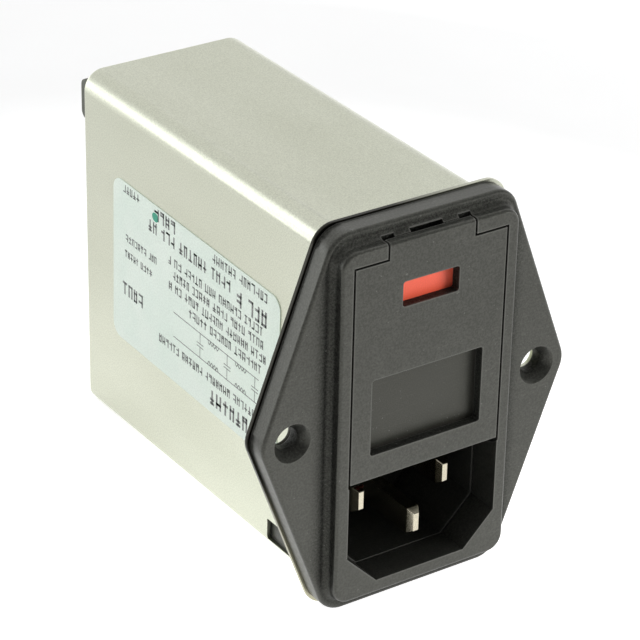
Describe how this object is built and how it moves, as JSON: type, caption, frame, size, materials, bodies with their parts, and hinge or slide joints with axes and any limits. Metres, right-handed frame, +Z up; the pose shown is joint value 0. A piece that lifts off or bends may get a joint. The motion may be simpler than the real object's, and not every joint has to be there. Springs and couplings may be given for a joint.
{
  "type": "power entry module",
  "caption": "Panel-mounted power entry module: mains inlet with flat blades, tip-out fuse door and a line filter in a drawn metal case with push-on tabs",
  "frame": {"origin": "Midway between the two fixing holes, on the panel side of the case's rim", "axes": "+X across the panel to the right seen from the front, +Y into the equipment, +Z up with the inlet at the bottom"},
  "size_m": [0.0502, 0.075, 0.0576],
  "materials": {
    "case_metal": "satin nickel plate",
    "moulding": "fine matt grain",
    "dark_moulding": "matt",
    "red_moulding": "satin",
    "glass": "clear",
    "plating": "nickel plate on brass",
    "wire_sleeve": "satin sleeve",
    "board": "solder mask",
    "core": "coated core",
    "copper": "varnished copper",
    "capacitor": "moulded box",
    "ceramic": "dipped coating",
    "label": "printed film"
  },
  "bodies": {
    "module": {"filter_case": "case_metal", "front_bezel": "moulding", "line_blade": "plating", "neutral_blade": "plating", "earth_blade": "plating", "terminal_insulator": "dark_moulding", "line_terminal": "plating", "neutral_terminal": "plating", "earth_terminal": "plating", "rating_label": "label", "lower_fuse_contacts": "plating", "upper_fuse_contacts": "plating", "earth_strap": "plating", "line_feed_wire": "wire_sleeve", "neutral_feed_wire": "wire_sleeve", "line_load_wire": "wire_sleeve", "neutral_load_wire": "wire_sleeve", "filter_board": "board", "input_choke_core": "core", "input_choke_windings": "copper", "output_choke_core": "core", "output_choke_windings": "copper", "input_x_capacitor": "capacitor", "output_x_capacitor": "capacitor", "small_x_capacitor": "capacitor", "y_capacitors": "ceramic", "bleed_resistor": "ceramic"},
    "door": {"fuse_door": "moulding", "blanking_plate": "dark_moulding", "fuse_carrier": "red_moulding", "lower_fuse_tube": "glass", "lower_fuse_caps": "plating", "lower_fuse_wire": "plating", "upper_fuse_tube": "glass", "upper_fuse_caps": "plating", "upper_fuse_wire": "plating"}
  },
  "joints": [
    {"name": "door_hinge", "type": "hinge", "parent": "module", "child": "door", "pos_m": [0, -0.0034, -0.0065], "axis": [1, 0, 0], "range_deg": [0, 100]}
  ]
}
